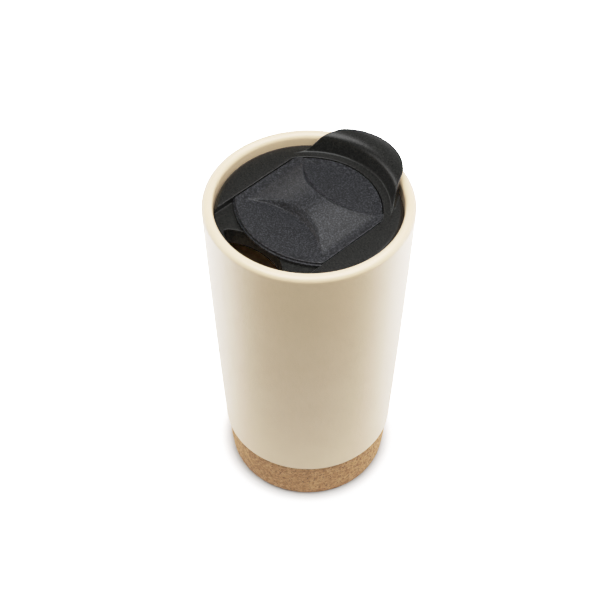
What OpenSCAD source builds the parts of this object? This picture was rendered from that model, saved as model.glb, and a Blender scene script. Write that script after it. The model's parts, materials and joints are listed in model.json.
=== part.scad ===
// Double-wall ceramic tumbler with a cork foot and a press-in lid closed by a slider.
// Origin: centre of the cork's underside. +Z up, +Y towards the lid's tab, drinking port at -Y.
// The slider is drawn open, pushed back against the tab. Closing it moves it towards -Y.

/* [Cup] */
// Height of the rim above the table
cup_h = 159; // [154:1:166]
// Diameter across the outside of the rim
rim_d = 89; // [88:0.5:91]
// Thickness of the full-round lip
lip_t = 4.74; // [4.4:0.02:5]
// Diameter of the ceramic just above the cork
waist_d = 77; // [76:0.5:80]
// Outward bow of the wall halfway between waist and rim
wall_bow = 0.3; // [0:0.1:0.8]
// Thickness of the outer ceramic wall
shell_t = 3.2; // [2.8:0.1:3.4]
// Thickness of the inner ceramic wall that holds the drink
liner_t = 2.8; // [2.4:0.1:3]
// Height of the drinking space's floor above the table
drink_floor = 16; // [15:0.5:20]

/* [Cork] */
// Height of the cork foot
cork_h = 23.3; // [21:0.1:26]
// Diameter of the cork where it starts to round under
cork_foot_d = 71.2; // [70:0.2:74]
// Thickness of the cork under the ceramic
cork_floor = 4; // [3:0.5:5]

/* [Lid] */
// Depth of the lid's shoulders below the rim
lid_drop = 4.3; // [3.5:0.1:5.5]
// Depth of the lid's lower edge below the rim
lid_depth = 19; // [18:0.5:21]
// Gap all round between lid and ceramic
lid_gap = 0.6; // [0.4:0.1:0.8]
// Width of the channel that the slider runs in
channel_w = 53.2; // [50:0.2:54]
// Depth of the channel below the shoulders
channel_d = 2.7; // [2.4:0.1:3]
// Wall thickness of the lid moulding
lid_t = 2; // [1.6:0.1:2.2]
// Distance from the cup's axis to the rear edge of the drinking port
port_rear = 25; // [24:0.5:27]
// Distance from the cup's axis to the tip of the tab
tab_reach = 45.8; // [44:0.1:47]
// Height of the tab's crest above the rim
tab_rise = 4.75; // [4:0.05:6]

/* [Slider] */
// Travel of the slider from open to closed
travel = 10; // [8:0.5:11]
// Thickness of the slider's flat edge
plate_t = 2.4; // [2:0.1:2.6]
// Height of the slider's crown above its edge
crown_h = 3.7; // [3:0.1:4]
// Distance from the cup's axis to the foot of the front finger recess
recess_front = 7; // [6:0.1:9]
// Distance from the cup's axis to the foot of the rear finger recess
recess_rear = 9.5; // [8:0.1:11]

/* [Hidden] */
$fn = 144;
eps = 0.01;
fit = 0.05;                             // running clearance of sliding faces

// Cup
rim_r = rim_d / 2;
lip_r = lip_t / 2;
lip_z = cup_h - lip_r;                  // centre of the lip's round
waist_r = waist_d / 2;
bore_r = rim_r - lip_t;                 // straight bore that takes the lid
seat_z = cup_h - lid_depth;             // step in the bore that the lid rests on
seat_w = 3.1;                           // width of that step
seat_r = bore_r - seat_w;
seat_slope = 2;
drink_top_r = seat_r - 0.8;
drink_foot_r = waist_r - 10.5;
drink_round = 13;
cavity_top = seat_z - 7;

// Foot
adhesive_t = 0.25;
spigot_z = cork_floor + adhesive_t;     // underside of the ceramic
spigot_top_r = waist_r - 4.5;
spigot_foot_r = cork_foot_d / 2 - 3.8;
spigot_gap = 0.1;
waist_bevel = 0.5;
cork_round = 2;
cork_inset = 0.35;                      // the ceramic stands this much proud of the cork
vent_r = 3;
vent_head_r = 5;
vent_head_t = 1;

// Lid
lid_r = bore_r - lid_gap;
lid_top = cup_h - lid_drop;
lid_edge_round = 1.8;
floor_z = lid_top - channel_d;
under_z = floor_z - lid_t - 0.2;        // underside of the channel's floor
skirt_in_r = lid_r - 2.2;
groove_r = lid_r - 1;
groove_z = cup_h - 16.4;
groove_h = 4;
channel_rear_r = 31.6;                  // plan radius of the channel's rear end
channel_rear_y = 30.6;
channel_corner = 3.4;
port_round = 26.7;
port_front_r = groove_r - 0.9;
port_depth = 8;
ledge_r = 34;                           // radius of the foot of the tab
tab_back_r = lid_r - 0.6;               // the tab's wall reaches out almost to the lid's edge
tab_t = 1.8;                            // thickness of the lip that overhangs the rim
tab_droop = 0.85;                       // the lip's tip lies this much below its crest

// Slider
slider_gap = 0.4;
slider_w = channel_w - 2 * slider_gap;
slider_bottom = floor_z + 2 * fit;
slider_edge = slider_bottom + plate_t;
recess_r = 35;                          // plan radius of a finger recess at its foot
recess_wall = 3.2;                      // how far the recess's wall leans back over its height
crown_half_w = 25;                      // the crown fades out this far from the middle
crown_hollow = [18, 5];                 // plan of the hollow under the crown
stem = [6, 8];
stem_y = 8;
barb = 0.8;
retainer_t = 2;
retainer = [14, 28];

function wall_r(z) =
    let (u = (z - cork_h) / (lip_z - cork_h))
    waist_r + (rim_r - waist_r) * u + 4 * wall_bow * u * (1 - u);

function drink_r(z) =
    let (low = drink_floor + drink_round, u = (z - low) / (seat_z - seat_slope - low))
    drink_foot_r + (drink_top_r - drink_foot_r) * u;

function steps(a, b, n) = [for (i = [0 : n]) a + (b - a) * i / n];

function arc(c, r, a0, a1, n) = [for (a = steps(a0, a1, n)) c + r * [cos(a), sin(a)]];

function bezier(a, b, c, n) =
    [for (t = steps(0, 1, n)) (1 - t) * (1 - t) * a + 2 * t * (1 - t) * b + t * t * c];

function mirrored(points) = [for (i = [len(points) - 1 : -1 : 0]) [-points[i][0], points[i][1]]];

// Back half of a plate's outline: straight sides, rounded corners and a rear arc
function rounded_back(half, rear_r, corner) =
    let (rear_y = channel_rear_y - channel_rear_r,
         at = [half - corner, rear_y + sqrt(pow(rear_r - corner, 2) - pow(half - corner, 2))],
         turn = atan2(at[1] - rear_y, at[0]),
         side = arc(at, corner, 0, turn, 8))
    concat(side, arc([0, rear_y], rear_r, turn + 2, 178 - turn, 32), mirrored(side));

// ---- cup ----

// Outline of the ceramic from the spigot's underside to the middle of the lip
module ceramic_outline() {
    polygon(concat(
        [[0, spigot_z], [spigot_foot_r, spigot_z], [spigot_top_r, cork_h],
         [waist_r - waist_bevel, cork_h]],
        [for (z = steps(cork_h + waist_bevel, lip_z, 12)) [wall_r(z), z]],
        [[0, lip_z]]));
    translate([rim_r - lip_r, lip_z]) intersection() {
        circle(lip_r);
        translate([-lip_t, 0]) square([2 * lip_t, lip_t]);
    }
}

module drink_outline() {
    low = drink_floor + drink_round;
    polygon(concat(
        [[0, drink_floor]],
        arc([drink_foot_r - drink_round, low], drink_round, -90, 0, 10),
        [[drink_top_r, seat_z - seat_slope], [seat_r, seat_z], [bore_r, seat_z],
         [bore_r, lip_z], [0, lip_z]]));
}

module cavity_outline() {
    low = drink_floor + drink_round;
    polygon(concat(
        [[0, spigot_z + shell_t], [spigot_foot_r - shell_t, spigot_z + shell_t],
         [spigot_top_r - shell_t, cork_h - 1]],
        [for (z = steps(cork_h + shell_t + 1, cavity_top - 3, 8)) [wall_r(z) - shell_t, z]],
        [[(wall_r(cavity_top) + drink_r(cavity_top)) / 2, cavity_top]],
        [[drink_r(cavity_top - 3) + liner_t, cavity_top - 3]],
        arc([drink_foot_r - drink_round, low], drink_round + liner_t, 0, -90, 10),
        [[0, drink_floor - liner_t]]));
}

module ceramic_body() color("#ebe1d1") difference() {
    rotate_extrude() difference() {
        ceramic_outline();
        drink_outline();
        cavity_outline();
    }
    translate([0, 0, spigot_z - eps]) {
        cylinder(h = shell_t + 2 * eps, r = vent_r);
        cylinder(h = vent_head_t + eps, r = vent_head_r);
    }
}

// Stopper that closes the firing vent in the ceramic's underside
module vent_plug() color("#d8d4cc") translate([0, 0, spigot_z]) {
    cylinder(h = vent_head_t - fit, r = vent_head_r - 2 * fit);
    cylinder(h = shell_t + 0.5, r = vent_r - fit);
    translate([0, 0, shell_t + 0.5]) cylinder(h = 1, r1 = vent_r - fit, r2 = vent_r - 0.8);
}

module base_adhesive() color("#c9c4b8") translate([0, 0, cork_floor]) difference() {
    cylinder(h = adhesive_t, r = spigot_foot_r - 1.5);
    translate([0, 0, -eps]) cylinder(h = adhesive_t + 2 * eps, r = vent_head_r + 3);
}

module cork_base() color("#b6946e") rotate_extrude() {
    foot_r = cork_foot_d / 2;
    top_r = waist_r - cork_inset;
    polygon(concat(
        [[0, 0]],
        arc([foot_r - cork_round, cork_round], cork_round, -90, -10, 6),
        [for (u = steps(0.12, 1, 6))
            [foot_r + (top_r - foot_r) * u + 0.8 * u * (1 - u), cork_h * u - 0.05 * u]],
        [[spigot_top_r + spigot_gap, cork_h - 0.05],
         [spigot_foot_r + spigot_gap, cork_floor], [0, cork_floor]]));
}

// ---- lid ----

// Plan of the slider's channel, grown sideways and backwards, open at the front
module channel_plan(grow = 0) {
    half = channel_w / 2 + grow;
    front = -lid_r - 5;
    polygon(concat(rounded_back(half, channel_rear_r + grow, channel_corner + grow),
                   [[-half, front], [half, front]]));
}

// Plan of the drinking port: a lens between the skirt and an arc that bulges backwards
module port_plan(grow = 0) intersection() {
    circle(port_front_r + grow);
    translate([0, -port_rear - port_round]) circle(port_round + grow);
}

// Side view of the tab: a steep wall that bends into a lip, which droops over the rim
module tab_profile() {
    crest = cup_h + tab_rise;
    foot_z = lid_top - 1.2;
    wall_top = [ledge_r + 1.75, crest - 3.45];
    bend = [ledge_r + 5.6, crest - 0.15];
    tip = [tab_reach + 0.5, crest - tab_droop];
    under = [tab_back_r + 1.2, crest - tab_t - 0.4];
    polygon(concat([[ledge_r, foot_z], [ledge_r, lid_top - 0.5]],
                   bezier(wall_top, [ledge_r + 2.4, crest - 0.9], bend, 8),
                   bezier(bend + [0.3, 0.06], [ledge_r + 8, crest + 0.35], tip, 8),
                   [tip - [0, tab_t]],
                   bezier(under, [tab_back_r, under[1]], [tab_back_r, under[1] - 1.2], 4),
                   [[tab_back_r, foot_z]]));
}

// Plan of the tab: waisted sides and a rounded end
module tab_plan() {
    end_r = 22.7;
    end_c = tab_reach - end_r;
    side_x = 18.3;
    start = acos(side_x / end_r);
    waist = bezier([22.5, 27.5], [20.3, 31], [side_x, end_c + end_r * sin(start)], 8);
    side = concat([[28.2, 18.6]], waist);
    polygon(concat(side, arc([0, end_c], end_r, start + 4, 176 - start, 24), mirrored(side)));
}

module stem_slot() {
    back = stem_y + stem[1] / 2 + 2 * fit;
    front = stem_y - travel - stem[1] / 2 - 2 * fit;
    translate([-stem[0] / 2 - 2 * fit, front, under_z - 1])
        cube([stem[0] + 4 * fit, back - front, lid_t + 2]);
}

module lid_shell() rotate_extrude() difference() {
    union() {
        translate([0, seat_z + fit]) square([lid_r, lid_top - lid_edge_round - seat_z - fit]);
        translate([0, seat_z + fit]) square([lid_r - lid_edge_round, lid_top - seat_z - fit]);
        translate([lid_r - lid_edge_round, lid_top - lid_edge_round]) circle(lid_edge_round);
    }
    square([skirt_in_r, under_z]);
    translate([groove_r, groove_z]) square([lid_r, groove_h]);
}

module lid_body() color("#23252a") difference() {
    union() {
        lid_shell();
        translate([0, 0, floor_z - port_depth]) linear_extrude(port_depth - lid_t + eps)
            intersection() {
                port_plan(grow = lid_t);
                circle(skirt_in_r + 0.5);
            }
        intersection() {
            rotate_extrude() tab_profile();
            translate([0, 0, lid_top - 1]) linear_extrude(20) tab_plan();
        }
    }
    translate([0, 0, floor_z]) linear_extrude(lid_drop) channel_plan();
    translate([0, 0, floor_z - 2 * port_depth]) linear_extrude(2 * port_depth + 1) port_plan();
    stem_slot();
    // the shoulders are cored from below
    translate([0, 0, under_z - 1]) linear_extrude(lid_top - lid_t - under_z + 1) difference() {
        circle(skirt_in_r - 0.6);
        channel_plan(grow = lid_t);
    }
}

// Silicone ring with two lips that wipe the ceramic
module lid_gasket() color("#1b1b1d") rotate_extrude() {
    low = groove_z + fit;
    high = groove_z + groove_h - fit;
    back = groove_r + fit;
    face = lid_r + 0.1;
    tip = bore_r - fit;
    polygon([[back, low], [face, low], [tip, low + 0.9], [tip, low + 1.2], [face, low + 1.3],
             [face, high - 1.3], [tip, high - 0.4], [tip, high - 0.1], [face, high],
             [back, high]]);
}

// ---- slider ----

module slider_plan() {
    front_r = lid_r - slider_gap;
    turn = asin(slider_w / 2 / front_r);
    polygon(concat(rounded_back(slider_w / 2, channel_rear_r - slider_gap, channel_corner - slider_gap),
                   arc([0, travel], front_r, 270 - turn, 270 + turn, 32)));
}

// Cross-section of the slider: a bell-shaped crown over a flat plate
module crown_profile() {
    half = slider_w / 2 + 1;
    polygon(concat([[half, slider_edge], [half, slider_bottom], [-half, slider_bottom],
                    [-half, slider_edge]],
                   [for (x = steps(-crown_half_w, crown_half_w, 40))
                       [x, slider_edge + crown_h * pow(cos(90 * x / crown_half_w), 2)]]));
}

// Cone that cuts a finger recess; its wall leans back towards the crown
module recess(foot_y, direction) {
    lean = recess_wall / crown_h;
    translate([0, foot_y + direction * recess_r, slider_edge])
        cylinder(h = 2 * crown_h, r1 = recess_r, r2 = recess_r + 2 * crown_h * lean);
}

module slider_plate() color("#2a2c33") {
    difference() {
        intersection() {
            translate([0, 0, slider_bottom]) linear_extrude(plate_t + crown_h + 1) slider_plan();
            translate([0, lid_r, 0]) rotate([90, 0, 0]) linear_extrude(2 * lid_r) crown_profile();
        }
        recess(-recess_front, -1);
        recess(recess_rear, 1);
        // hollow under the crown
        translate([-crown_hollow[0] / 2, -crown_hollow[1] / 2, slider_bottom - 1])
            cube([crown_hollow[0], crown_hollow[1], crown_h - 0.4]);
    }
    // split stem with barbs that hold the retainer
    for (s = [0, 1]) mirror([s, 0, 0]) translate([1, stem_y - stem[1] / 2, 0]) {
        leg_z = under_z - retainer_t - 3 * fit;
        translate([0, 0, leg_z]) cube([stem[0] / 2 - 1, stem[1], slider_bottom - leg_z + eps]);
        translate([0, 0, leg_z - 1]) cube([stem[0] / 2 - 1 + barb, stem[1], 1 + eps]);
    }
}

// Keeper plate under the lid; it hangs on the barbs and covers the slot
module slider_retainer() color("#1e1f23") translate([0, stem_y, under_z - fit - retainer_t])
    difference() {
        translate([-retainer[0] / 2, -retainer[1] / 2, 0]) cube([retainer[0], retainer[1], retainer_t]);
        translate([-stem[0] / 2 - fit, -stem[1] / 2 - fit, -1])
            cube([stem[0] + 2 * fit, stem[1] + 2 * fit, retainer_t + 2]);
    }

ceramic_body();
vent_plug();
base_adhesive();
cork_base();
lid_body();
lid_gasket();
slider_plate();
slider_retainer();
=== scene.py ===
import json
import math

import bmesh
import bpy
import numpy as np
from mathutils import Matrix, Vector, noise


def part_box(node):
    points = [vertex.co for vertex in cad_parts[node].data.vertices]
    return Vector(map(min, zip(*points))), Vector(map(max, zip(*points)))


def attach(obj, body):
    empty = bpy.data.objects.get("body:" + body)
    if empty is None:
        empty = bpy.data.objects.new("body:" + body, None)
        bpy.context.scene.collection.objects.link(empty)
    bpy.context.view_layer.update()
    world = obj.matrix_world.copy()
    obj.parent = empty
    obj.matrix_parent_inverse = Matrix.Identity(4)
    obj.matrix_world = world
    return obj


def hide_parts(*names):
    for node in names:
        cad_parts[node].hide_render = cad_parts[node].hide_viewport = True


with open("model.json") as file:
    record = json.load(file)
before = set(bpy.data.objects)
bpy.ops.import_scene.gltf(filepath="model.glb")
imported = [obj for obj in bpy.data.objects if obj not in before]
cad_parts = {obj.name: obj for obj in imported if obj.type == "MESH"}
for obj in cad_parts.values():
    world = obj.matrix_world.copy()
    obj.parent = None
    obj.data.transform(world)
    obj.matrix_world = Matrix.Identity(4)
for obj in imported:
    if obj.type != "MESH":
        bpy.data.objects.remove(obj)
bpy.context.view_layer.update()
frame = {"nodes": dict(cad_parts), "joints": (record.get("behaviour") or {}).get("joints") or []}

# Shapes are worked out in millimetres, in the CAD frame, and stored in metres.
MM = 0.001
AROUND = 288                      # steps round the cup's axis
SPECK = 1e-6                      # points closer than this, in metres, are merged after a boolean


def box_mm(node):
    low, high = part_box(node)
    return low / MM, high / MM


CERAMIC_LOW, CERAMIC_HIGH = box_mm("ceramic_body")
CORK_HIGH = box_mm("cork_base")[1]
LID_HIGH = box_mm("lid_body")[1]
GASKET_LOW, GASKET_HIGH = box_mm("lid_gasket")
SLIDER_LOW, SLIDER_HIGH = box_mm("slider_plate")
KEEPER_LOW, KEEPER_HIGH = box_mm("slider_retainer")

# Cup
RIM_R = min(CERAMIC_HIGH.x, -CERAMIC_LOW.x)
RIM_Z = CERAMIC_HIGH.z
LIP = 2.37                        # radius of the lip's full round
BORE_R = RIM_R - 2 * LIP
CORK_Z = CORK_HIGH.z
WAIST_R = CORK_HIGH.x + 0.35      # the ceramic stands a little proud of the cork
WALL_BOW = 0.3
SEAT_Z = RIM_Z - 19
SPIGOT_Z = CERAMIC_LOW.z
SPIGOT_R = 31.6                   # radius of the ceramic inside the cork
SPIGOT_TOP_R = 33.9
INSIDE_FLOOR_Z = 16
INSIDE_ROUND = 13                 # radius of the round at the bottom of the inside
CERAMIC_EDGE = 0.8                # radius of the ceramic's edge above the cork
CORK_FOOT_R = 35.6
CORK_ROUND = 2
CORK_FLOOR_Z = 4                  # the ceramic stands this high in the cork
CORK_BORE_R, CORK_BORE_TOP_R = 31.95, 34.2
GRAIN_DEPTH, PIT_DEPTH = 0.05, 0.34  # usual and greatest depth of the cork's surface

# Lid
LID_R = LID_HIGH.x
SHOULDER_Z = RIM_Z - 4.3
FLOOR_Z = SHOULDER_Z - 2.7
UNDER_Z = FLOOR_Z - 2.2
SKIRT_R = LID_R - 2.2             # inside of the skirt
SHOULDER_ROUND = 1.8
GROOVE_R = LID_R - 1              # floor of the gasket's groove
GROOVE_Z, GROOVE_H = RIM_Z - 16.4, 4
CHANNEL_HALF = 26.6
CHANNEL_CORNER = 3.4
REAR_R = 31.6
REAR_Y = 30.6 - REAR_R            # centre of the arcs behind the slider
PORT_FRONT_R = 37.2
PORT_REAR_R = 26.7
PORT_REAR_Y = -25 - PORT_REAR_R
PORT_TIP = 2
PORT_DEPTH = 8
WELL_FRONT, WELL_REAR = 0.3, 2    # thickness of the wall round the port, in front and behind
WELL_TIP = 3.6
WEB = 2                           # thickness of the webs beside the channel
SLOT_HALF, SLOT_FRONT, SLOT_BACK = 3.2, -6.2, 12.2

# Slider, drawn open
SLIDER_HALF = SLIDER_HIGH.x
SLIDER_BOTTOM = FLOOR_Z + 0.1
SLIDER_GAP = 0.4                  # between the slider's ends and what they meet
TRAVEL = frame["joints"][1]["range_m"][1] / MM
EDGE_Z = FLOOR_Z + 2.5            # top of the slider's flat edge
EDGE_R = 0.35                     # radius of that edge
TOP_HALF = SLIDER_HALF - EDGE_R   # half width of the upper face
STEP = 0.65                       # the lower tier of the front edge stands this far out
CROWN = SLIDER_HIGH.z - EDGE_Z
CROWN_REACH = 25.0                # the crown has faded out this far from the middle
# The finger recesses: where their feet and crests cross the middle, and the radii of those arcs
FOOT_FRONT, FOOT_REAR, FOOT_ARC = -7.0, 9.5, 35.0
CREST_FRONT, CREST_REAR, CREST_ARC = -3.75, 6.25, 24.5
WALL_LEAST = 0.35                 # least width of a recess's wall
DISH = 0.25                       # the recesses are dished by this much
DISH_FADE = 4                     # the dishing fades in over this distance from the edge
STEM_Y, STEM_HALF = 8.0, 4.0      # middle and half length of the split stem below
LEG_IN, LEG_OUT, BARB = 1, 3, 3.8  # its legs' inner and outer faces, and its barbs
KEEPER_CORNER = 3


# ---- outlines ----

def arc(cx, cy, radius, start, end, steps):
    """Points on a circle, angles in degrees."""
    angles = np.radians(np.linspace(start, end, steps + 1))
    return [(cx + radius * math.cos(a), cy + radius * math.sin(a)) for a in angles]


def mirrored(points):
    return [(-x, y) for x, y in reversed(points)]


def rounded_back(half, rear_r, corner, steps=72):
    """Rear half of the channel's outline: rounded corners and an arc."""
    x = half - corner
    y = REAR_Y + math.sqrt((rear_r - corner) ** 2 - x * x)
    turn = math.degrees(math.atan2(y - REAR_Y, x))
    side = arc(x, y, corner, 0, turn, 10)
    rear = arc(0, REAR_Y, rear_r, turn, 180 - turn, steps)[1:-1]
    return side + rear + mirrored(side)


def channel(grow):
    half = CHANNEL_HALF + grow
    front = -LID_R - 5
    back = rounded_back(half, REAR_R + grow, CHANNEL_CORNER + grow)
    return back + [(-half, front), (half, front)]


def lens(front_r, rear_r, tip):
    """Drinking port: two arcs that meet in rounded tips."""
    a, b = front_r - tip, rear_r - tip
    y = (a * a - b * b + PORT_REAR_Y ** 2) / (2 * PORT_REAR_Y)
    x = math.sqrt(a * a - y * y)
    front_turn = math.degrees(math.atan2(y, x))
    rear_turn = math.degrees(math.atan2(y - PORT_REAR_Y, x))
    right = arc(x, y, tip, front_turn, rear_turn, 12)
    rear = arc(0, PORT_REAR_Y, rear_r, rear_turn, 180 - rear_turn, 40)[1:-1]
    front = arc(0, 0, front_r, -180 - front_turn, front_turn, 40)[1:-1]
    return right + rear + mirrored(right) + front


def outward(tangent):
    """Unit vectors to the right of the directions in which an outline runs."""
    out = np.stack([tangent[:, 1], -tangent[:, 0]], axis=1)
    return out / np.linalg.norm(out, axis=1, keepdims=True)


def bezier(a, b, c, t):
    return tuple((1 - t) ** 2 * p + 2 * t * (1 - t) * q + t * t * r for p, q, r in zip(a, b, c))


# ---- meshes ----

def make(name, points, faces, sharp=40):
    """A new smooth-shaded object from points in millimetres."""
    mesh = bpy.data.meshes.new(name)
    mesh.from_pydata([tuple(c * MM for c in p) for p in points], [], faces)
    mesh.update()
    thing = bpy.data.objects.new(name, mesh)
    bpy.context.scene.collection.objects.link(thing)
    shade(thing, sharp)
    return thing


def shade(thing, sharp=40):
    thing.data.polygons.foreach_set("use_smooth", [True] * len(thing.data.polygons))
    thing.data.set_sharp_from_angle(angle=math.radians(sharp))


def lathe(name, profile, steps=AROUND, shift=None, sharp=40):
    """Turns a closed (radius, height) profile round Z. Points on the axis become one vertex."""
    points, rings = [], []
    for r, z in profile:
        if r < 1e-6:
            rings.append([len(points)] * steps)
            points.append((0, 0, z))
            continue
        rings.append(list(range(len(points), len(points) + steps)))
        for i in range(steps):
            a = 2 * math.pi * i / steps
            p = Vector((r * math.cos(a), r * math.sin(a), z))
            points.append(shift(p) if shift else p)
    closed = profile[0][0] > 1e-6
    faces = []
    pairs = list(zip(rings, rings[1:] + rings[:1])) if closed else list(zip(rings, rings[1:]))
    for low, high in pairs:
        for i in range(steps):
            j = (i + 1) % steps
            face = [low[i], low[j], high[j], high[i]]
            faces.append([v for k, v in enumerate(face) if v != face[k - 1]])
    return make(name, points, faces, sharp)


def loft(name, loops, sharp=40):
    """A closed solid through loops of equal length, capped at both ends."""
    n = len(loops[0])
    points = [p for loop in loops for p in loop]
    faces = [list(range(n - 1, -1, -1)), [len(points) - n + i for i in range(n)]]
    for k in range(len(loops) - 1):
        for i in range(n):
            j = (i + 1) % n
            faces.append([k * n + i, k * n + j, (k + 1) * n + j, (k + 1) * n + i])
    return make(name, points, faces, sharp)


def raised(outline, z):
    return [(x, y, z) for x, y in outline]


def combine(thing, other, how, sharp=40):
    """Boolean of two closed solids; the second one is used up."""
    step = thing.modifiers.new(how.lower(), "BOOLEAN")
    step.operation, step.solver, step.object = how, "EXACT", other
    bpy.context.view_layer.update()
    graph = bpy.context.evaluated_depsgraph_get()
    result = bpy.data.meshes.new_from_object(thing.evaluated_get(graph))
    work = bmesh.new()
    work.from_mesh(result)
    bmesh.ops.remove_doubles(work, verts=work.verts, dist=SPECK)
    bmesh.ops.dissolve_degenerate(work, dist=SPECK, edges=work.edges)
    work.to_mesh(result)
    work.free()
    thing.modifiers.clear()
    thing.data = result
    bpy.data.objects.remove(other)
    shade(thing, sharp)
    return thing


def weigh_normals(thing):
    step = thing.modifiers.new("flat_faces_stay_flat", "WEIGHTED_NORMAL")
    step.keep_sharp = True
    step.weight = 100


# ---- cup ----

def wall_r(z):
    u = (z - CORK_Z) / (RIM_Z - LIP - CORK_Z)
    return WAIST_R + (RIM_R - WAIST_R) * u + 4 * WALL_BOW * u * (1 - u)


def ceramic_profile():
    edge, shelf = CERAMIC_EDGE, CORK_Z + 0.05
    foot = [(0, SPIGOT_Z), (SPIGOT_R, SPIGOT_Z), (SPIGOT_R + 0.2, SPIGOT_Z + 0.3),
            (SPIGOT_TOP_R, shelf), (WAIST_R - edge - 0.3, shelf)]
    lower = arc(WAIST_R - edge, shelf + edge, edge, -90, 0, 6)
    heights = np.linspace(CORK_Z + 1.6, RIM_Z - LIP - 0.6, 40)
    wall = [(wall_r(z), z) for z in heights]
    lip = arc(RIM_R - LIP, RIM_Z - LIP, LIP, 0, 180, 24)
    bore = [(BORE_R, z) for z in np.linspace(RIM_Z - LIP - 1, SEAT_Z + 0.4, 8)[:-1]]
    seat = arc(BORE_R - 0.4, SEAT_Z + 0.4, 0.4, 0, -90, 3)
    top_r, foot_r, low = BORE_R - 3.9, WAIST_R - 10.5, INSIDE_FLOOR_Z + INSIDE_ROUND
    taper = [(top_r + 0.8, SEAT_Z), (top_r + 0.3, SEAT_Z - 0.6), (top_r, SEAT_Z - 2)]
    taper += [(foot_r + (top_r - foot_r) * t, low + (SEAT_Z - 2 - low) * t)
              for t in np.linspace(0.95, 0.05, 16)]
    bottom = arc(foot_r - INSIDE_ROUND, low, INSIDE_ROUND, 0, -90, 16)
    return foot + lower + wall + lip + bore + seat + taper + bottom + [(0, INSIDE_FLOOR_Z)]


def cork_profile():
    corner_r = CORK_FOOT_R - CORK_ROUND
    flat = [(0, 0)] + [(r, 0) for r in np.linspace(4, corner_r - 0.5, 40)]
    corner = arc(corner_r, CORK_ROUND, CORK_ROUND, -90, -10, 8)
    top_r = CORK_HIGH.x - 0.35
    side = [(CORK_FOOT_R + (top_r - CORK_FOOT_R) * u + 0.8 * u * (1 - u), CORK_Z * u)
            for u in np.linspace(0.12, 0.985, 44)]
    top = [(top_r - 0.25, CORK_Z - 0.02), (top_r - 1, CORK_Z), (CORK_BORE_TOP_R, CORK_Z)]
    return flat + corner + side + top + [(CORK_BORE_R, CORK_FLOOR_Z), (0, CORK_FLOOR_Z)]


def cork_surface(p):
    """Pits and granules of pressed cork: the surface only ever moves inwards."""
    radius = math.hypot(p.x, p.y)
    inside = radius < 34.5 and abs(p.z - CORK_FLOOR_Z) < 0.1
    if p.z > CORK_Z - 0.05 or radius < 1 or inside:
        return p
    grain = noise.noise(p * 1.1) + 0.5 * noise.noise(p * 2.3)
    pit = max(0.0, noise.noise(p * 0.9 + Vector((31, 7, 5))) - 0.28)
    depth = min(PIT_DEPTH, GRAIN_DEPTH + 0.06 * grain + pit)
    if p.z < 1e-4:
        return Vector((p.x, p.y, 0.5 * max(0.0, depth - GRAIN_DEPTH)))
    out = Vector((p.x, p.y, 0)) / radius
    return p - out * max(0.0, depth)


# ---- lid ----

TAB_FOOT_R = 34.0
TAB_BACK_R = LID_R - 0.6          # the wall behind the tab
TAB_TIP = LID_HIGH.y - 0.02
TAB_CREST = LID_HIGH.z - 0.03
TAB_T = 1.8                       # thickness of the lip over the rim
TAB_DROOP = 0.85                  # the lip ends this far below its crest
TAB_EDGE = 0.3                    # radius of the tab's edges
TAB_END_R = 22.7                  # plan radius of the tab's end
TAB_TIP_HALF = 6.0                # half width of the tip's middle stretch
TAB_CORNER_X = 18.3               # half width of the tab where its side meets its end
TAB_ROOT_SPOT = (28.2, 18.6)      # plan of the side: its root, then where it bends
TAB_SIDE = ((22.5, 27.5), (20.3, 31))
TAB_COLUMNS = 61
TAB_SINK = 0.03                   # the ledge in front of the tab lies this far below the shoulders
TAB_ROOT = 0.6                    # the tab reaches this far into them


def flare(low, high, bottom_r, top_r, rise=4):
    """(grow, height) pairs of a cutter: it rounds the corner at its foot and the edge at its top."""
    angles = np.radians(np.linspace(0, 90, 6))
    foot = [(bottom_r * (math.sin(a) - 1), low + bottom_r * (1 - math.cos(a))) for a in angles]
    edge = [(top_r * (1 - math.cos(a)), high - top_r * (1 - math.sin(a))) for a in angles]
    return foot + edge + [(top_r, high + rise)]


def lid_shell_profile():
    low, edge, groove, over = SEAT_Z + 0.05, SHOULDER_ROUND, GROOVE_Z, GROOVE_Z + GROOVE_H
    inside = [(0, UNDER_Z), (SKIRT_R - 1, UNDER_Z)] + arc(SKIRT_R - 1, UNDER_Z - 1, 1, 90, 0, 4)
    skirt = [(SKIRT_R, low + 0.5), (SKIRT_R + 0.5, low), (LID_R - 0.5, low), (LID_R, low + 0.5)]
    notch = [(LID_R, groove - 0.2), (LID_R - 0.2, groove), (GROOVE_R, groove), (GROOVE_R, over),
             (LID_R - 0.2, over), (LID_R, over + 0.2)]
    top = arc(LID_R - edge, SHOULDER_Z - edge, edge, 0, 90, 10)
    return inside + skirt + notch + top + [(0, SHOULDER_Z)]


def tab_curve():
    """Side view of the tab's upper face: ledge, fillet, steep wall, bend and drooping lip."""
    ledge = SHOULDER_Z - TAB_SINK
    droop = (TAB_TIP + 0.5, TAB_CREST - TAB_DROOP)
    wall_top = (TAB_FOOT_R + 1.75, TAB_CREST - 3.45)
    lean = (wall_top[0] - TAB_FOOT_R) / (wall_top[1] - SHOULDER_Z + 0.5)
    corner = (TAB_FOOT_R + 0.47 * lean, ledge)
    fillet = [(corner[0] - 0.95, ledge), corner, (corner[0] + 0.9 * lean, ledge + 0.9)]
    bend = (TAB_FOOT_R + 5.6, TAB_CREST - 0.15)
    lip = [bend, (TAB_FOOT_R + 8, TAB_CREST + 0.35), droop]
    points = [(0, ledge)]
    points += [bezier(*fillet, t) for t in np.linspace(0, 1, 16)]
    points += [bezier(wall_top, (TAB_FOOT_R + 2.4, TAB_CREST - 0.9), bend, t)
               for t in np.linspace(0, 1, 40)]
    points += [bezier(*lip, t) for t in np.linspace(0, 1, 40)[1:]]
    return np.array(points)


TAB_CURVE = tab_curve()


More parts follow.
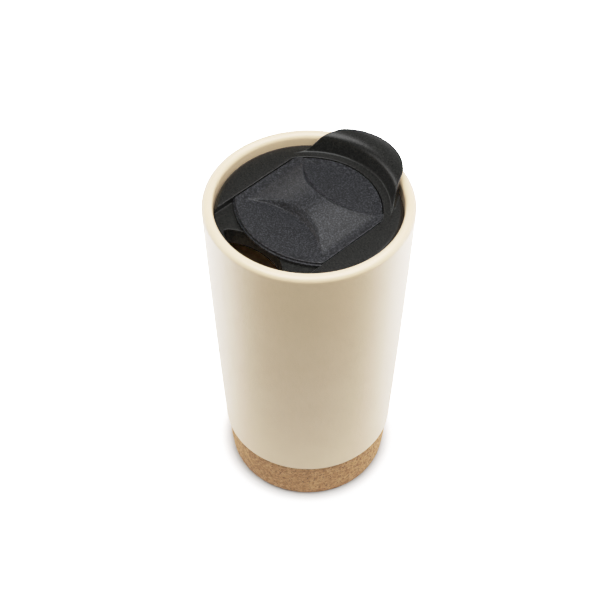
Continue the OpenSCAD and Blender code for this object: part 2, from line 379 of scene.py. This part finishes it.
def tab_height(radius):
    return float(np.interp(radius, TAB_CURVE[:, 0], TAB_CURVE[:, 1]))


def tab_normal(x, y):
    radius = math.hypot(x, y)
    slope = (tab_height(radius + 0.03) - tab_height(radius - 0.03)) / 0.06
    return Vector((-slope * x / radius, -slope * y / radius, 1)).normalized()


def tab_outline():
    """Right half of the tab's plan, foot to tip, with its corner softened."""
    end_y = TAB_TIP - TAB_END_R
    corner = (TAB_CORNER_X, end_y + math.sqrt(TAB_END_R ** 2 - TAB_CORNER_X ** 2))
    start = math.degrees(math.acos(TAB_CORNER_X / TAB_END_R))
    points = [TAB_ROOT_SPOT]
    points += [bezier(*TAB_SIDE, corner, t) for t in np.linspace(0, 1, 20)]
    points += arc(0, end_y, TAB_END_R, start, 180 - start, 120)[1:]
    points = np.array(points)
    along = np.concatenate([[0], np.cumsum(np.linalg.norm(np.diff(points, axis=0), axis=1))])
    fine = np.linspace(0, along[-1], 1201)
    dense = np.stack([np.interp(fine, along, points[:, k]) for k in range(2)], axis=1)
    soft = dense.copy()
    width = 36
    for i in range(width, len(dense) - width):
        soft[i] = dense[i - width:i + width + 1].mean(axis=0)
    return soft[:int(np.argmin(np.abs(soft[:, 0]))) + 1]


def tab_edge(spot, out):
    """Start of the edge's round and the surface normal there. The lip's round ends on the plan's
    outline, while the round of the steep side grows out of it."""
    share = min(1.0, max(0.0, (spot[1] - 33) / 8))
    inset = 0
    for _ in range(6):
        x, y = spot[0] - inset * out[0], spot[1] - inset * out[1]
        normal = tab_normal(x, y)
        inset = share * TAB_EDGE * (1 - normal.x * out[0] - normal.y * out[1])
    return Vector((x, y, tab_height(math.hypot(x, y)))), normal


def tab_stations():
    """Stations along the right side and along the tip. Each holds a point of the plan's outline,
    the outward direction, the start of the edge's round and the normal there."""
    outline = tab_outline()
    outs = outward(np.gradient(outline, axis=0))
    last = int(np.argmin(np.abs(outline[:, 0] - TAB_TIP_HALF)))
    picks = np.unique(np.linspace(0, last, 70).astype(int))
    side = [(outline[i], outs[i], *tab_edge(outline[i], outs[i])) for i in picks]
    tip = []
    for x in np.linspace(TAB_TIP_HALF - 0.6, 0.6 - TAB_TIP_HALF, TAB_COLUMNS):
        out = np.array([x, math.sqrt(TAB_END_R ** 2 - x * x)]) / TAB_END_R
        spot = np.array([0, TAB_TIP - TAB_END_R]) + TAB_END_R * out
        tip.append((spot, out, *tab_edge(spot, out)))
    return side, tip


def flipped(station):
    spot, out, start, normal = station
    left = Vector((-1, 1, 1))
    return (spot * [-1, 1], out * [-1, 1], start * left, normal * left)


def tab_skirt(spot, out, start, radius):
    """Side below the edge's round: a flared foot, or the lip's lower edge."""
    below = SHOULDER_Z - TAB_ROOT
    if radius < TAB_BACK_R:
        flare_r = max(min(1.5, 0.7 * (start.z - SHOULDER_Z)), 0.02)
        steps = [(flare_r * (1 - math.sqrt(1 - (1 - u) ** 2)), SHOULDER_Z - TAB_SINK + flare_r * u)
                 for u in (1, 0.6, 0.3, 0.12, 0)]
        steps.append((flare_r, below))
    else:
        under = tab_height(radius) - TAB_T
        steps = [(0, under + 0.35), (-0.05, under + 0.15), (-0.15, under + 0.04),
                 (-0.35, under - 0.05), (-0.35, SHOULDER_Z), (-0.35, below)]
    return [(spot[0] + out[0] * grow, spot[1] + out[1] * grow, z) for grow, z in steps]


def tab_ring(station):
    """Points of one section through the edge, from the end of the upper face down to the foot."""
    spot, out, start, normal = station
    flat = Vector((out[0], out[1], 0))
    across = (flat - normal * flat.dot(normal)).normalized()
    total = math.acos(max(-1, min(1, flat.dot(normal))))
    middle = start - normal * TAB_EDGE
    turned = [middle + TAB_EDGE * (normal * math.cos(total * t) + across * math.sin(total * t))
              for t in (0.25, 0.5, 0.75, 1)]
    return turned + tab_skirt(spot, out, start, math.hypot(spot[0], spot[1]))


def tab_rows(side, tip, add):
    """Rows of points across the tab's upper face, from behind its ledge to its tip."""
    def across(radius, turn, z):
        return [add((radius * math.sin(a), radius * math.cos(a), z))
                for a in np.linspace(turn, -turn, TAB_COLUMNS)]
    foot_turn = math.atan2(side[0][2].x, side[0][2].y)
    rows = [across(r, foot_turn, SHOULDER_Z - TAB_SINK) for r in (32.7, 33.1)]
    for _, _, start, _ in side:
        rows.append(across(math.hypot(start.x, start.y), math.atan2(start.x, start.y), start.z))
    return rows + [[add(station[2]) for station in tip]]


def tab_sections(rows, side, tip, points, add):
    """Sections down the tab's edge all the way round, each from its point in the upper face."""
    border = [(row[0], station) for row, station in zip(rows[2:], side)]
    border += list(zip(rows[-1], tip))
    border += [(row[-1], flipped(station)) for row, station in zip(rows[-2:1:-1], side[::-1])]
    sections = [[index] + [add(p) for p in tab_ring(station)] for index, station in border]
    depth = len(sections[0]) - 1
    for k in [rows[1][-1]] + rows[0][::-1] + [rows[1][0]]:
        x, y, z = points[k]
        sections.append([k] + [add((x, y, z - (TAB_ROOT - TAB_SINK) * (drop + 1) / depth))
                               for drop in range(depth)])
    return sections


def tab_block():
    """The tab down to the shoulders: a surface of revolution cut to its plan, with rounded edges."""
    side, tip = tab_stations()
    points, faces = [], []

    def add(point):
        points.append(tuple(point))
        return len(points) - 1
    rows = tab_rows(side, tip, add)
    for upper, lower in zip(rows, rows[1:]):
        for j in range(TAB_COLUMNS - 1):
            faces.append([upper[j], upper[j + 1], lower[j + 1], lower[j]])
    sections = tab_sections(rows, side, tip, points, add)
    for here, after in zip(sections, sections[1:] + sections[:1]):
        for k in range(len(here) - 1):
            faces.append([here[k], after[k], after[k + 1], here[k + 1]])
    faces.append([section[-1] for section in reversed(sections)])
    return make("tab", points, [f[::-1] for f in faces])


def tab():
    block = tab_block()
    under = TAB_CREST - TAB_T - 0.4
    shelf = [(TAB_BACK_R, SHOULDER_Z - 1), (50, SHOULDER_Z - 1), (50, under - 0.7),
             (TAB_TIP + 0.5, TAB_CREST - TAB_DROOP - TAB_T)]
    round_in = [bezier((TAB_BACK_R + 1.2, under), (TAB_BACK_R, under), (TAB_BACK_R, under - 1.2), t)
                for t in np.linspace(0, 1, 8)]
    return combine(block, lathe("shelf", shelf + round_in), "DIFFERENCE")


def cutter(name, outline, heights):
    return loft(name, [raised(outline(grow), z) for grow, z in heights])


def lid():
    shell = lathe("lid_shell", lid_shell_profile())
    wall = lens(PORT_FRONT_R + WELL_FRONT, PORT_REAR_R + WELL_REAR, WELL_TIP)
    well = loft("well", [raised(wall, z) for z in (FLOOR_Z - PORT_DEPTH, UNDER_Z + 0.5)])
    combine(shell, well, "UNION")
    core_r, low, high = SKIRT_R - 0.6, UNDER_Z - 0.4, SHOULDER_Z - 2
    core = lathe("core", [(0, low), (core_r, low), (core_r, high), (0, high)], 96)
    combine(core, cutter("web", channel, [(WEB, UNDER_Z - 3), (WEB, SHOULDER_Z)]), "DIFFERENCE")
    combine(shell, core, "DIFFERENCE")
    combine(shell, tab(), "UNION")
    run = cutter("channel", channel, flare(FLOOR_Z, SHOULDER_Z, 0.3, 0.35, 1.2))
    combine(shell, run, "DIFFERENCE")

    def port(grow):
        return lens(PORT_FRONT_R + grow, PORT_REAR_R + grow, PORT_TIP + grow)
    heights = [(-0.1, FLOOR_Z - 2 * PORT_DEPTH)] + flare(FLOOR_Z - 2, FLOOR_Z, 0, 0.3, 1)[5:]
    combine(shell, cutter("port", port, heights), "DIFFERENCE")
    slot = [(SLOT_HALF, SLOT_FRONT), (SLOT_HALF, SLOT_BACK), (-SLOT_HALF, SLOT_BACK),
            (-SLOT_HALF, SLOT_FRONT)]
    combine(shell, cutter("slot", lambda grow: slot, [(0, UNDER_Z - 1), (0, FLOOR_Z + 1)]),
            "DIFFERENCE")
    shell.name = "lid_moulding"
    return shell


# ---- slider ----

def crown(x):
    return CROWN * math.cos(math.pi / 2 * min(abs(x) / CROWN_REACH, 1)) ** 2


def slider_end(x, centre, radius, corner, way):
    """Where an end of the slider is at x: an arc round (0, centre) with rounded corners.
    way is -1 for the front and 1 for the rear."""
    cx = TOP_HALF - corner
    cy = centre + way * math.sqrt((radius - corner) ** 2 - cx * cx)
    x = min(abs(x), TOP_HALF)
    if x <= cx * radius / (radius - corner):
        return centre + way * math.sqrt(radius ** 2 - x * x)
    return cy + way * math.sqrt(max(corner ** 2 - (x - cx) ** 2, 0))


def slider_front(x):
    """Front of the upper face, behind the edge's round and the lower tier."""
    return slider_end(x, TRAVEL, LID_R - SLIDER_GAP - (EDGE_R + STEP), 1.2, -1)


def slider_rear(x):
    return slider_end(x, REAR_Y, REAR_R - SLIDER_GAP - EDGE_R, 3.0, 1)


def recess_lines(x):
    """Where the foot and the crest of the two finger recesses lie at x."""
    foot = FOOT_ARC - math.sqrt(FOOT_ARC ** 2 - x * x)
    crest = CREST_ARC - math.sqrt(max(CREST_ARC ** 2 - min(abs(x), CREST_ARC) ** 2, 0))
    front_foot = FOOT_FRONT - foot
    rear_foot = FOOT_REAR + foot
    front_crest = max(CREST_FRONT - crest, front_foot + WALL_LEAST)
    rear_crest = min(CREST_REAR + crest, rear_foot - WALL_LEAST)
    return front_foot, front_crest, rear_crest, rear_foot


def slider_height(x, y):
    """Relief above the flat edge: the front recess's wall is rolled over, the rear one's straight."""
    front_foot, front_crest, rear_crest, rear_foot = recess_lines(x)
    if y <= front_foot or y >= rear_foot:
        return 0.0
    if y < front_crest:
        return crown(x) * math.sin(math.pi / 2 * (y - front_foot) / (front_crest - front_foot))
    if y > rear_crest:
        return crown(x) * (rear_foot - y) / (rear_foot - rear_crest)
    return crown(x)


def soft_height(x, y, spread=0.4):
    """The slider's relief with its creases rounded off."""
    return sum(slider_height(x, y + spread * k / 4) for k in range(-4, 5)) / 9


def slider_rows(x):
    """Places along the slider at x, close together where the relief has a crease."""
    front, rear = slider_front(x), slider_rear(x)
    lines = recess_lines(x)
    stops = [front, lines[0] - 0.6, lines[0] - 0.25, lines[0], lines[0] + 0.25, lines[0] + 0.6,
             lines[1] - 0.5, lines[1] - 0.25, lines[1], lines[1] + 0.25, lines[1] + 0.5,
             lines[2] - 0.5, lines[2] - 0.25, lines[2], lines[2] + 0.25, lines[2] + 0.5,
             lines[3] - 0.6, lines[3] - 0.25, lines[3], lines[3] + 0.25, lines[3] + 0.6, rear]
    cuts = [14] + [1] * 4 + [3] + [1] * 4 + [12] + [1] * 4 + [3] + [1] * 4 + [14]
    least = 0.012
    for i in range(1, len(stops)):
        stops[i] = max(stops[i], stops[i - 1] + least * cuts[i - 1])
    for i in range(len(stops) - 2, -1, -1):
        stops[i] = min(stops[i], stops[i + 1] - least * cuts[i])
    stops[0] = front
    rows = []
    for a, b, n in zip(stops, stops[1:], cuts):
        rows += [a + (b - a) * k / n for k in range(n)]
    return rows + [rear]


def slider_columns():
    """Places across the slider, a little closer together towards its sides."""
    angles = np.linspace(-math.pi / 2, math.pi / 2, 141)
    return [TOP_HALF * (0.55 * math.sin(a) + 0.45 * a / (math.pi / 2)) for a in angles]


def slider_point(x, y, front, rear):
    """A point of the upper face, with the recesses dished away from the face's edges."""
    height = soft_height(x, y)
    dish = -DISH * max(0.0, 1 - height / 0.5)
    inset = min(y - front, rear - y, TOP_HALF - abs(x))
    return (x, y, EDGE_Z + height + dish * max(0.0, min(1.0, inset / DISH_FADE)))


def around_grid(columns, rows):
    """Indices of the points round the border of a grid."""
    last = (columns - 1) * rows
    return ([i * rows for i in range(columns)] + [last + j for j in range(1, rows)]
            + [i * rows + rows - 1 for i in range(columns - 2, -1, -1)]
            + list(range(rows - 2, 0, -1)))


def slider_edge():
    """(out, down, share of the step) of each ring below the upper face."""
    groove, bottom = EDGE_R - 0.1, EDGE_Z - SLIDER_BOTTOM
    rounded = [(EDGE_R * math.sin(a), EDGE_R * (1 - math.cos(a)), 0)
               for a in np.radians(np.linspace(0, 90, 5)[1:])]
    return rounded + [(EDGE_R, 0.75, 0), (groove, 0.85, 0), (groove, 0.95, 0), (groove, 1.0, 0.7),
                      (EDGE_R, 1.1, 0.95), (EDGE_R, 1.3, 1), (EDGE_R, bottom - 0.3, 1),
                      (EDGE_R - 0.3, bottom, 1)]


def slider():
    grid = [[(x, y) for y in slider_rows(x)] for x in slider_columns()]
    columns, rows = len(grid), len(grid[0])
    points = [slider_point(x, y, row[0][1], row[-1][1]) for row in grid for x, y in row]
    faces = [[a, a + rows, a + rows + 1, a + 1]
             for i in range(columns - 1) for a in range(i * rows, (i + 1) * rows - 1)]
    border = around_grid(columns, rows)
    loop = np.array([points[k][:2] for k in border])
    outs = outward(np.roll(loop, -1, axis=0) - np.roll(loop, 1, axis=0))
    step_end = slider_front(TOP_HALF) + 1.5
    front = np.clip((step_end - loop[:, 1]) / 1.5, 0, 1)
    rings = [border]
    for grow, drop, share in slider_edge():
        rings.append(list(range(len(points), len(points) + len(loop))))
        for p, out, f in zip(loop, outs, front):
            q = p + out * (grow + share * STEP * f)
            points.append((q[0], q[1], EDGE_Z - drop))
    for above, below in zip(rings, rings[1:]):
        for k in range(len(border)):
            m = (k + 1) % len(border)
            faces.append([above[k], below[k], below[m], above[m]])
    faces.append(list(reversed(rings[-1])))
    plate = make("slider_top", points, faces, 50)
    for side in (-1, 1):
        combine(plate, stem_leg(side), "UNION", 50)
    return plate


def stem_leg(side):
    """One leg of the split stem, with the barb that holds the keeper."""
    low, top = SLIDER_LOW.z, SLIDER_BOTTOM + 0.8
    section = [(LEG_IN, low), (BARB - 0.5, low), (BARB, low + 0.6), (BARB, low + 1),
               (LEG_OUT, low + 1), (LEG_OUT, top), (LEG_IN, top)]
    loops = [[(side * x, y, z) for x, z in section]
             for y in (STEM_Y - STEM_HALF, STEM_Y + STEM_HALF)]
    if side > 0:
        loops.reverse()
    return loft("leg", loops)


def keeper():
    """Plate that hangs on the barbs and covers the slot."""
    low, high = KEEPER_LOW, KEEPER_HIGH

    def outline(grow):
        x, y = high.x - KEEPER_CORNER, (high.y - low.y) / 2 - KEEPER_CORNER
        middle = (low.y + high.y) / 2
        quarter = [arc(sx * x, middle + sy * y, KEEPER_CORNER + grow, start, start + 90, 8)
                   for sx, sy, start in ((1, 1, 0), (-1, 1, 90), (-1, -1, 180), (1, -1, 270))]
        return [p for q in quarter for p in q]
    edge = 0.4
    plate = cutter("keeper", outline, [(-edge, low.z), (-0.12, low.z + 0.12), (0, low.z + edge),
                                       (0, high.z - edge), (-0.12, high.z - 0.12), (-edge, high.z)])
    x, near, far = LEG_OUT + 0.05, STEM_Y - STEM_HALF - 0.05, STEM_Y + STEM_HALF + 0.05
    hole = [(x, near), (x, far), (-x, far), (-x, near)]
    return combine(plate, cutter("hole", lambda grow: hole, [(0, low.z - 1), (0, high.z + 1)]),
                   "DIFFERENCE")


def gasket_profile():
    low, high = GASKET_LOW.z, GASKET_HIGH.z
    back, face, tip = GROOVE_R + 0.05, LID_R + 0.1, GASKET_HIGH.x
    return [(back, low), (face - 0.1, low), (face, low + 0.1), (tip - 0.1, low + 0.85),
            (tip, low + 1), (tip, low + 1.15), (tip - 0.1, low + 1.2), (face, low + 1.3),
            (face, high - 1.3), (tip - 0.1, high - 0.45), (tip, high - 0.35), (tip, high - 0.15),
            (tip - 0.1, high - 0.1), (face, high), (back, high)]


# ---- materials ----

def material(name, slot_color):
    made = bpy.data.materials.new(name)
    made.use_nodes = True
    made.diffuse_color = (*slot_color, 1)
    tree = made.node_tree
    return made, tree, tree.nodes["Principled BSDF"]


def node(tree, kind, props=None, **inputs):
    """A new shader node with its properties and inputs set."""
    made = tree.nodes.new("ShaderNode" + kind)
    for key, value in (props or {}).items():
        setattr(made, key, value)
    put(tree, made, **inputs)
    return made


def put(tree, shader, **inputs):
    """Sets inputs to values or links them to sockets; i0, i1 and so on are inputs by number."""
    for key, value in inputs.items():
        name = int(key[1:]) if key[1:].isdigit() else key.replace("_", " ")
        socket = shader.inputs[name]
        if isinstance(value, bpy.types.NodeSocket):
            tree.links.new(value, socket)
        else:
            socket.default_value = value


def ramp(tree, factor, stops):
    made = node(tree, "ValToRGB", Fac=factor)
    elements = made.color_ramp.elements
    for k, (at, color) in enumerate(stops):
        spot = elements[k] if k < 2 else elements.new(at)
        spot.position, spot.color = at, (*color, 1)
    return made.outputs["Color"]


def glaze():
    made, tree, shader = material("cream_glaze", (0.86, 0.8, 0.7))
    place = node(tree, "TexCoord").outputs["Object"]
    cloud = node(tree, "TexNoise", Vector=place, Scale=28.0, Detail=3.0).outputs["Fac"]
    color = ramp(tree, cloud, [(0.3, (0.78, 0.60, 0.39)), (0.7, (0.81, 0.63, 0.415))])
    peel = node(tree, "TexNoise", Vector=place, Scale=260.0, Detail=2.0).outputs["Fac"]
    rough = node(tree, "MapRange", Value=cloud, To_Min=0.30, To_Max=0.38).outputs["Result"]
    bump = node(tree, "Bump", Height=peel, Strength=0.06, Distance=0.0004).outputs["Normal"]
    put(tree, shader, Base_Color=color, Roughness=rough, Normal=bump, Coat_Weight=0.25,
        Coat_Roughness=0.22)
    return made


def cork_material():
    made, tree, shader = material("cork", (0.47, 0.3, 0.16))
    place = node(tree, "TexCoord").outputs["Object"]
    bend = node(tree, "TexNoise", Vector=place, Scale=900.0, Detail=2.0).outputs["Color"]
    warped = node(tree, "Mix", {"data_type": "VECTOR"}, i0=0.0006, i4=place, i5=bend)
    grain = node(tree, "TexVoronoi", Vector=warped.outputs[1], Scale=950.0)
    split = node(tree, "SeparateColor", Color=grain.outputs["Color"]).outputs["Red"]
    tone = ramp(tree, split, [(0.0, (0.32, 0.165, 0.066)), (1.0, (0.56, 0.34, 0.165)),
                              (0.5, (0.45, 0.255, 0.112))])
    speck = node(tree, "TexNoise", Vector=place, Scale=1300.0, Detail=2.0).outputs["Fac"]
    mask = node(tree, "MapRange", Value=speck, From_Min=0.30, From_Max=0.40).outputs["Result"]
    dark = node(tree, "Mix", {"data_type": "RGBA"}, i0=mask, i6=(0.13, 0.06, 0.025, 1), i7=tone)
    bump = node(tree, "Bump", Height=speck, Strength=0.5, Distance=0.0004).outputs["Normal"]
    put(tree, shader, Base_Color=dark.outputs[2], Roughness=0.85, Normal=bump)
    return made


def grained_plastic(name, dark, light, rough, grain_scale, strength, sparkle):
    made, tree, shader = material(name, dark)
    place = node(tree, "TexCoord").outputs["Object"]
    grain = node(tree, "TexNoise", Vector=place, Scale=grain_scale, Detail=2.0,
                 Roughness=0.6).outputs["Fac"]
    tint = node(tree, "TexNoise", Vector=place, Scale=grain_scale * 0.7, Detail=1.0).outputs["Fac"]
    color = ramp(tree, tint, [(0.45, dark), (0.85, light)])
    shine = node(tree, "MapRange", Value=grain, From_Min=0.35, From_Max=0.65,
                 To_Min=rough + sparkle, To_Max=rough - sparkle).outputs["Result"]
    bump = node(tree, "Bump", Height=grain, Strength=strength, Distance=0.0001).outputs["Normal"]
    put(tree, shader, Base_Color=color, Roughness=shine, Normal=bump, Specular_IOR_Level=0.32)
    return made


def silicone(name, color):
    made, tree, shader = material(name, color)
    place = node(tree, "TexCoord").outputs["Object"]
    haze = node(tree, "TexNoise", Vector=place, Scale=600.0, Detail=2.0).outputs["Fac"]
    rough = node(tree, "MapRange", Value=haze, To_Min=0.5, To_Max=0.65).outputs["Result"]
    put(tree, shader, Base_Color=(*color, 1), Roughness=rough)
    return made


def dress(thing, look):
    thing.data.materials.clear()
    thing.data.materials.append(look)


def settle(thing, body, slot, look, *nodes):
    """Gives a new piece its material and body, and hides the CAD nodes it stands for."""
    dress(thing, look)
    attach(thing, body)
    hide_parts(*nodes)


CREAM = glaze()
CORK = cork_material()
LID_BLACK = grained_plastic("black_lid", (0.005, 0.005, 0.0045), (0.022, 0.022, 0.020), 0.33, 2400,
                            0.3, 0.06)
GRAIN_BLACK = grained_plastic("black_grain", (0.002, 0.0022, 0.003), (0.052, 0.054, 0.062), 0.42,
                              2400, 0.7, 0.12)
BLACK_SILICONE = silicone("black_silicone", (0.012, 0.012, 0.013))
CLEAR_SILICONE = silicone("clear_silicone", (0.6, 0.6, 0.57))
ADHESIVE = silicone("adhesive", (0.55, 0.52, 0.45))

settle(lathe("ceramic_cup", ceramic_profile()), "cup", "cream_glaze", CREAM, "ceramic_body")
settle(lathe("cork_foot", cork_profile(), 384, cork_surface), "cup", "cork", CORK, "cork_base")
moulding = lid()
weigh_normals(moulding)
settle(moulding, "lid", "black_lid", LID_BLACK, "lid_body")
settle(lathe("gasket_ring", gasket_profile()), "lid", "black_silicone", BLACK_SILICONE,
       "lid_gasket")
settle(slider(), "slider", "black_grain", GRAIN_BLACK, "slider_plate")
settle(keeper(), "slider", "black_lid", LID_BLACK, "slider_retainer")
dress(frame["nodes"]["vent_plug"], CLEAR_SILICONE)
dress(frame["nodes"]["base_adhesive"], ADHESIVE)


# ---- stage ----

SMOOTH = {"interpolation_type": "SMOOTHSTEP"}
TOWARDS_CAMERA = (0.72, -0.69, 0.0)
FLOOR_HALF, FLOOR_LOW = 3000, -0.02
# Brightness of the floor as the cup sees it, behind the cup and in front: at its foot, further off
FLOOR_NEAR = (1.3, 0.65)
FLOOR_FAR = (2.0, 0.02)
# Brightness of the floor as the camera sees it: a contact shadow that opens into white
SHADOW, WHITE = 0.55, 6.0
SHADOW_R, WHITE_R = 0.0355, 0.044  # in metres
# Brightness of the surroundings at the horizon, beside and behind the cup and behind the camera
SKY_SIDES, SKY_FRONT = 3.4, 0.1
SKY_HIGH = 0.04                   # share of it that is left high up
KEY_POWER = 23.5                  # watts, as is the next
GLARE_POWER = 2.6                 # the small lamp that shines on the crown's right side
# How bright each light value comes out, up to the value that comes out white
TONE = ((0.2, 0.2), (0.4, 0.4), (0.68, 0.6), (1.0, 0.74), (1.5, 0.85), (2.2, 0.94))
TONE_WHITE = 4.0


def floor_light(tree, place, away):
    """Brightness of the floor as the cup sees it."""
    way = node(tree, "VectorMath", {"operation": "NORMALIZE"}, i0=place).outputs["Vector"]
    front = node(tree, "VectorMath", {"operation": "DOT_PRODUCT"}, i0=way,
                 i1=TOWARDS_CAMERA).outputs["Value"]

    def by_side(values):
        return node(tree, "MapRange", SMOOTH, Value=front, From_Min=-0.3, From_Max=0.8,
                    To_Min=values[0], To_Max=values[1]).outputs["Result"]
    return node(tree, "MapRange", SMOOTH, Value=away, From_Min=0.05, From_Max=0.2,
                To_Min=by_side(FLOOR_NEAR), To_Max=by_side(FLOOR_FAR)).outputs["Result"]


def floor_look(tree, away):
    """Brightness of the floor as the camera sees it, rising by an even ratio away from the foot."""
    power = node(tree, "MapRange", Value=away, From_Min=SHADOW_R, From_Max=WHITE_R,
                 To_Min=math.log(SHADOW), To_Max=math.log(WHITE)).outputs["Result"]
    return node(tree, "Math", {"operation": "POWER"}, i0=math.e, i1=power).outputs[0]


def floor():
    made, tree, _ = material("floor", (0.9, 0.9, 0.9))
    place = node(tree, "TexCoord").outputs["Object"]
    away = node(tree, "VectorMath", {"operation": "LENGTH"}, i0=place).outputs["Value"]
    eye = node(tree, "LightPath").outputs["Is Camera Ray"]
    light = node(tree, "Mix", i0=eye, i2=floor_light(tree, place, away), i3=floor_look(tree, away))
    matt = node(tree, "BsdfDiffuse", Color=light.outputs[0]).outputs[0]
    clear = node(tree, "BsdfTransparent").outputs[0]      # seen from below, the floor is clear
    beneath = node(tree, "NewGeometry").outputs["Backfacing"]
    skin = node(tree, "MixShader", Fac=beneath, i1=matt, i2=clear).outputs[0]
    tree.links.new(skin, tree.nodes["Material Output"].inputs["Surface"])
    corners = ((-1, -1), (1, -1), (1, 1), (-1, 1))
    plane = make("floor", [(x * FLOOR_HALF, y * FLOOR_HALF, FLOOR_LOW) for x, y in corners],
                 [[0, 1, 2, 3]])
    dress(plane, made)


def softbox(name, at, width, height, power):
    """An area light that faces straight down, its width along the picture's width."""
    lamp = bpy.data.lights.new(name, "AREA")
    lamp.shape, lamp.size, lamp.size_y, lamp.energy = "RECTANGLE", width, height, power
    thing = bpy.data.objects.new(name, lamp)
    bpy.context.scene.collection.objects.link(thing)
    thing.location = at
    thing.rotation_euler = (0, 0, math.atan2(-TOWARDS_CAMERA[0], TOWARDS_CAMERA[1]) + math.pi)


def camera():
    data = bpy.data.cameras.new("camera")
    data.lens, data.sensor_width, data.clip_start = 95.0, 36.0, 0.01
    thing = bpy.data.objects.new("camera", data)
    bpy.context.scene.collection.objects.link(thing)
    at, aim = Vector((0.3320, -0.3264, 0.6179)), Vector((0.0014, -0.0065, 0.1036))
    thing.location = at
    thing.rotation_mode = "QUATERNION"
    thing.rotation_quaternion = (aim - at).to_track_quat("-Z", "Y")
    bpy.context.scene.camera = thing


def studio():
    world = bpy.data.worlds.new("studio")
    bpy.context.scene.world = world
    world.use_nodes = True
    tree = world.node_tree
    way = node(tree, "TexCoord").outputs["Generated"]
    side = node(tree, "VectorMath", {"operation": "DOT_PRODUCT"}, i0=way,
                i1=TOWARDS_CAMERA).outputs["Value"]
    level = node(tree, "MapRange", SMOOTH, Value=side, From_Min=-0.3, From_Max=0.7,
                 To_Min=SKY_SIDES, To_Max=SKY_FRONT).outputs["Result"]
    height = node(tree, "SeparateXYZ", Vector=way).outputs["Z"]
    low = node(tree, "MapRange", SMOOTH, Value=height, From_Min=0.05, From_Max=0.50,
               To_Min=1.0, To_Max=SKY_HIGH).outputs["Result"]
    sky = node(tree, "Math", {"operation": "MULTIPLY"}, i0=level, i1=low).outputs[0]
    put(tree, tree.nodes["Background"], Color=(1, 1, 1, 1), Strength=sky)
    softbox("key", (0.30, -0.163, 1.01), 1.38, 0.85, KEY_POWER)
    softbox("glare", (-0.07, 0.46, 1.01), 0.25, 0.25, GLARE_POWER)


def tone():
    """Bright tones are compressed and lose some colour, as on film; the floor comes out white."""
    view = bpy.context.scene.view_settings
    view.view_transform = "Standard"
    view.use_curve_mapping = True
    mapping = view.curve_mapping
    mapping.white_level = (TONE_WHITE, TONE_WHITE, TONE_WHITE)
    curve = mapping.curves[3]
    curve.points[-1].location = (1, 1)
    for light, shown in TONE:
        curve.points.new(light / TONE_WHITE, shown)
    mapping.update()


floor()
camera()
studio()
tone()
